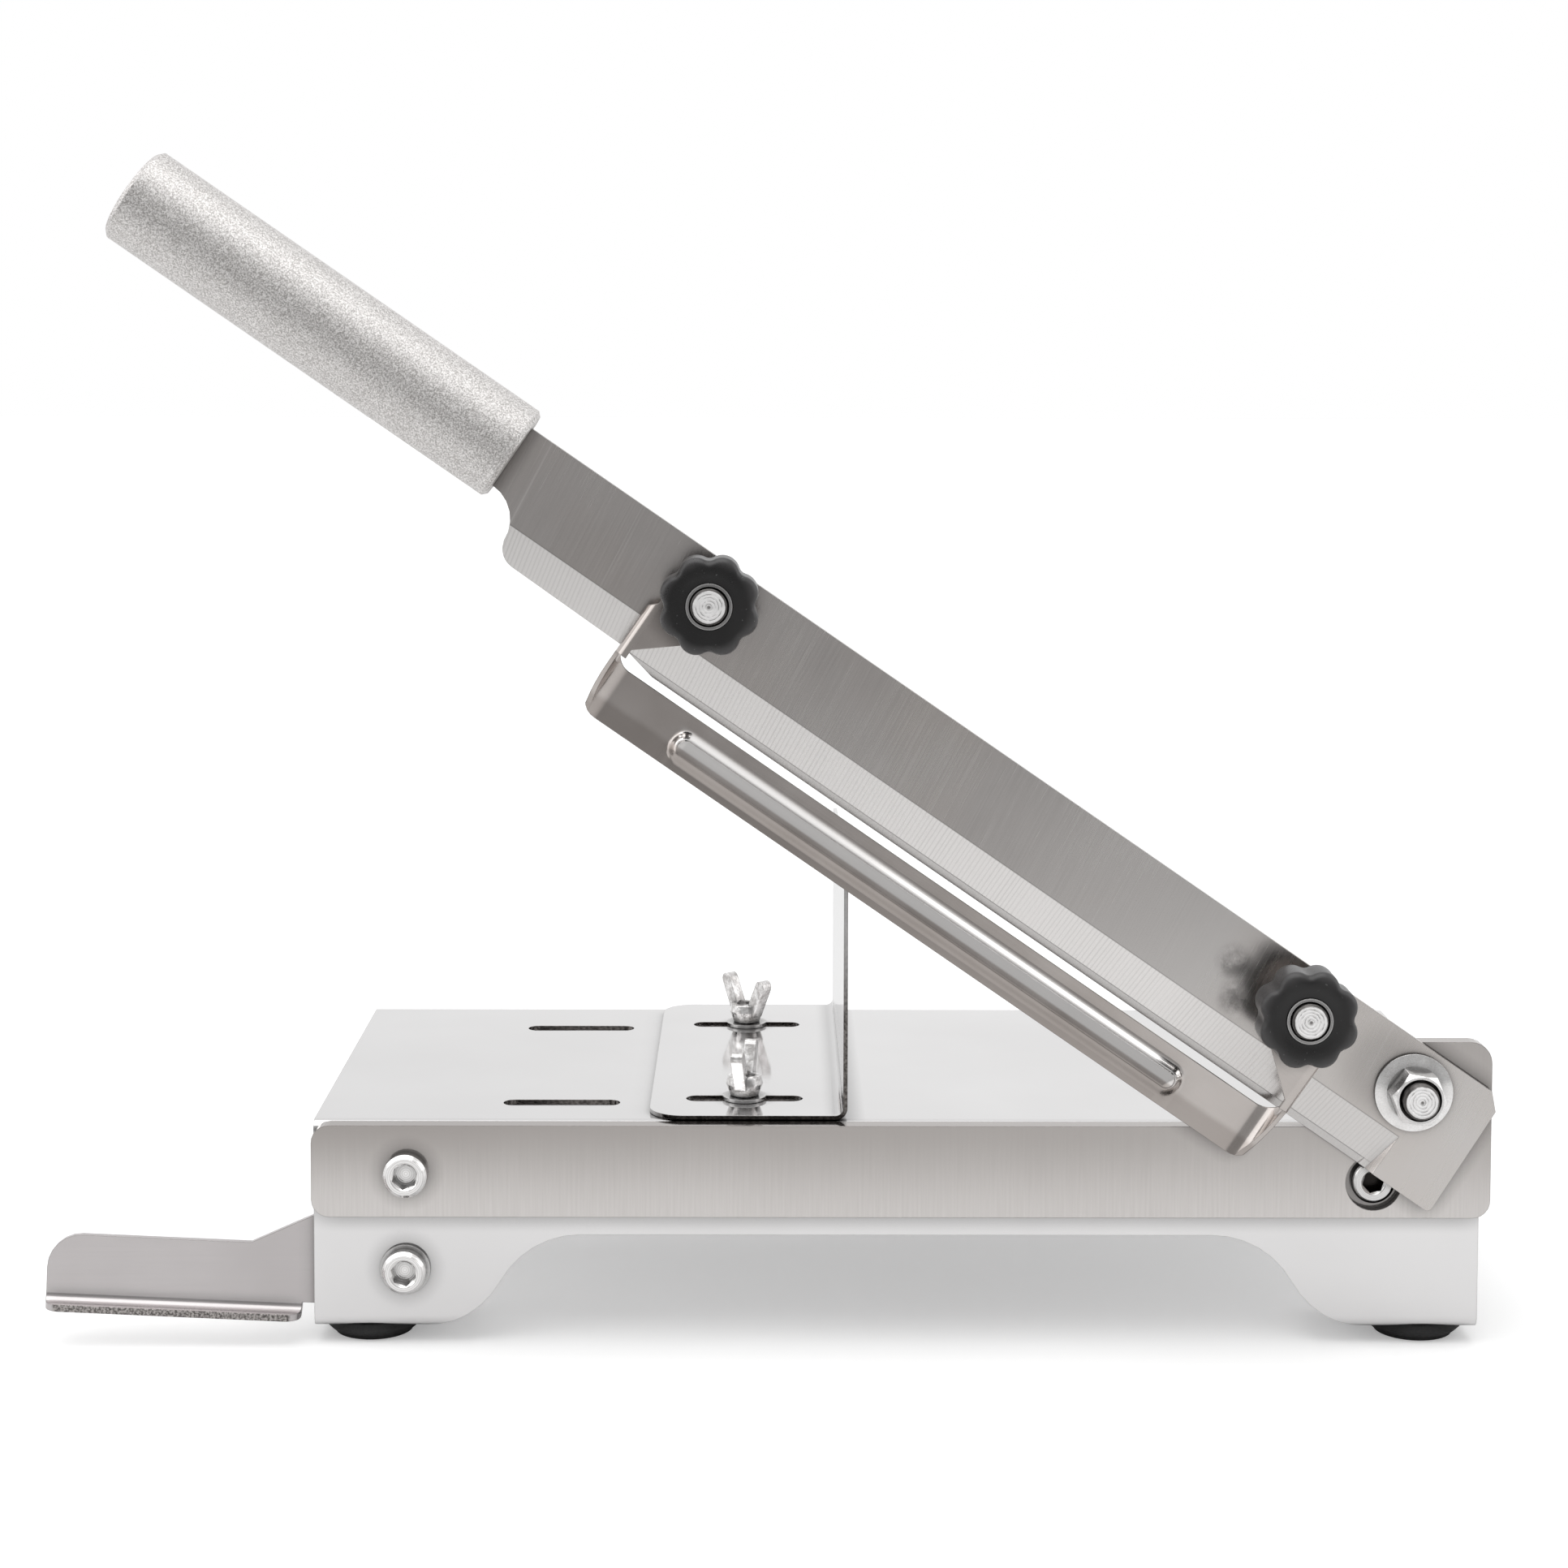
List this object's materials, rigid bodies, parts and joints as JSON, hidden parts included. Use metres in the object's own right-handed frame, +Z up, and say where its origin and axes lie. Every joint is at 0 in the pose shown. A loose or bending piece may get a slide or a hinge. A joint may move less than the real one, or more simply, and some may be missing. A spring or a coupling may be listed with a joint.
{
  "type": "frozen meat slicer",
  "caption": "Hand-lever slicer: a bevelled blade on a pivot shears past a bar on a sheet-metal table, with a spring-loaded thickness guide, a sliding meat stop and rubber feet.",
  "frame": {"origin": "middle of the bounding box, on the ground under the feet", "axes": "+X from the handle's end to the pivot's end, +Y from the cutting side to the rear, +Z up"},
  "size_m": [0.4063, 0.1714, 0.3338],
  "materials": {
    "table_sheet": "polished sheet",
    "bar_steel": "fine ground",
    "blade_steel": "ground across the blade",
    "handle_aluminium": "bead blasted satin",
    "guide_steel": "pressed, satin",
    "stop_sheet": "polished sheet",
    "hardware": "turned, bright",
    "spring_steel": "drawn wire",
    "insert_steel": "turned",
    "wing_nut_zinc": "bright plated casting",
    "knob_plastic": "moulded, fine satin",
    "foot_rubber": "moulded"
  },
  "bodies": {
    "base": {"base_sheet": "table_sheet", "rubber_feet": "foot_rubber", "foot_screws": "hardware", "foot_nuts": "hardware", "cutting_bar": "bar_steel", "bar_screw": "hardware", "bar_nut": "hardware", "pivot_stud": "hardware", "pivot_nut": "hardware", "pivot_washer": "hardware", "pivot_locknut": "hardware", "side_bracket": "bar_steel", "cap_screws": "hardware", "cap_washer": "hardware", "cap_nuts": "hardware", "stop_bolts": "hardware", "stop_washers": "hardware"},
    "blade": {"blade": "blade_steel", "handle": "handle_aluminium", "guide_studs": "hardware", "guide_springs": "spring_steel"},
    "guide": {"guide_bracket": "guide_steel"},
    "upper_knob": {"upper_knob": "knob_plastic", "upper_insert": "insert_steel"},
    "lower_knob": {"lower_knob": "knob_plastic", "lower_insert": "insert_steel"},
    "meat_stop": {"meat_stop": "stop_sheet"},
    "near_wing_nut": {"near_wing_nut": "wing_nut_zinc"},
    "far_wing_nut": {"far_wing_nut": "wing_nut_zinc"}
  },
  "joints": [
    {"name": "blade_swing", "type": "hinge", "parent": "base", "child": "blade", "pos_m": [0.18013, -0.06248, 0.0747], "axis": [0, 1, 0], "range_deg": [-33.3, 50]},
    {"name": "guide_slide", "type": "slide", "parent": "blade", "child": "guide", "axis": [0, -1, 0], "range_m": [-0.0013, 0.008]},
    {"name": "upper_knob_turn", "type": "hinge", "parent": "guide", "child": "upper_knob", "pos_m": [-0.01558, -0.07247, 0.2119], "axis": [0, -1, 0], "range_deg": [-313, 1921]},
    {"name": "lower_knob_turn", "type": "hinge", "parent": "guide", "child": "lower_knob", "pos_m": [0.14724, -0.07247, 0.09958], "axis": [0, -1, 0], "range_deg": [-313, 1921]},
    {"name": "stop_slide", "type": "slide", "parent": "base", "child": "meat_stop", "axis": [1, 0, 0], "range_m": [-0.0134, 0.0134]},
    {"name": "near_wing_turn", "type": "hinge", "parent": "base", "child": "near_wing_nut", "pos_m": [-0.00619, -0.03433, 0.0664], "axis": [0, 0, 1], "range_deg": [0, 720]},
    {"name": "far_wing_turn", "type": "hinge", "parent": "base", "child": "far_wing_nut", "pos_m": [-0.00619, 0.05668, 0.0664], "axis": [0, 0, 1], "range_deg": [0, 720]}
  ],
  "couplings": [
    {"joint": "upper_knob_turn", "follows": "guide_slide", "rad_per_m": 4188.8},
    {"joint": "lower_knob_turn", "follows": "guide_slide", "rad_per_m": 4188.8}
  ]
}
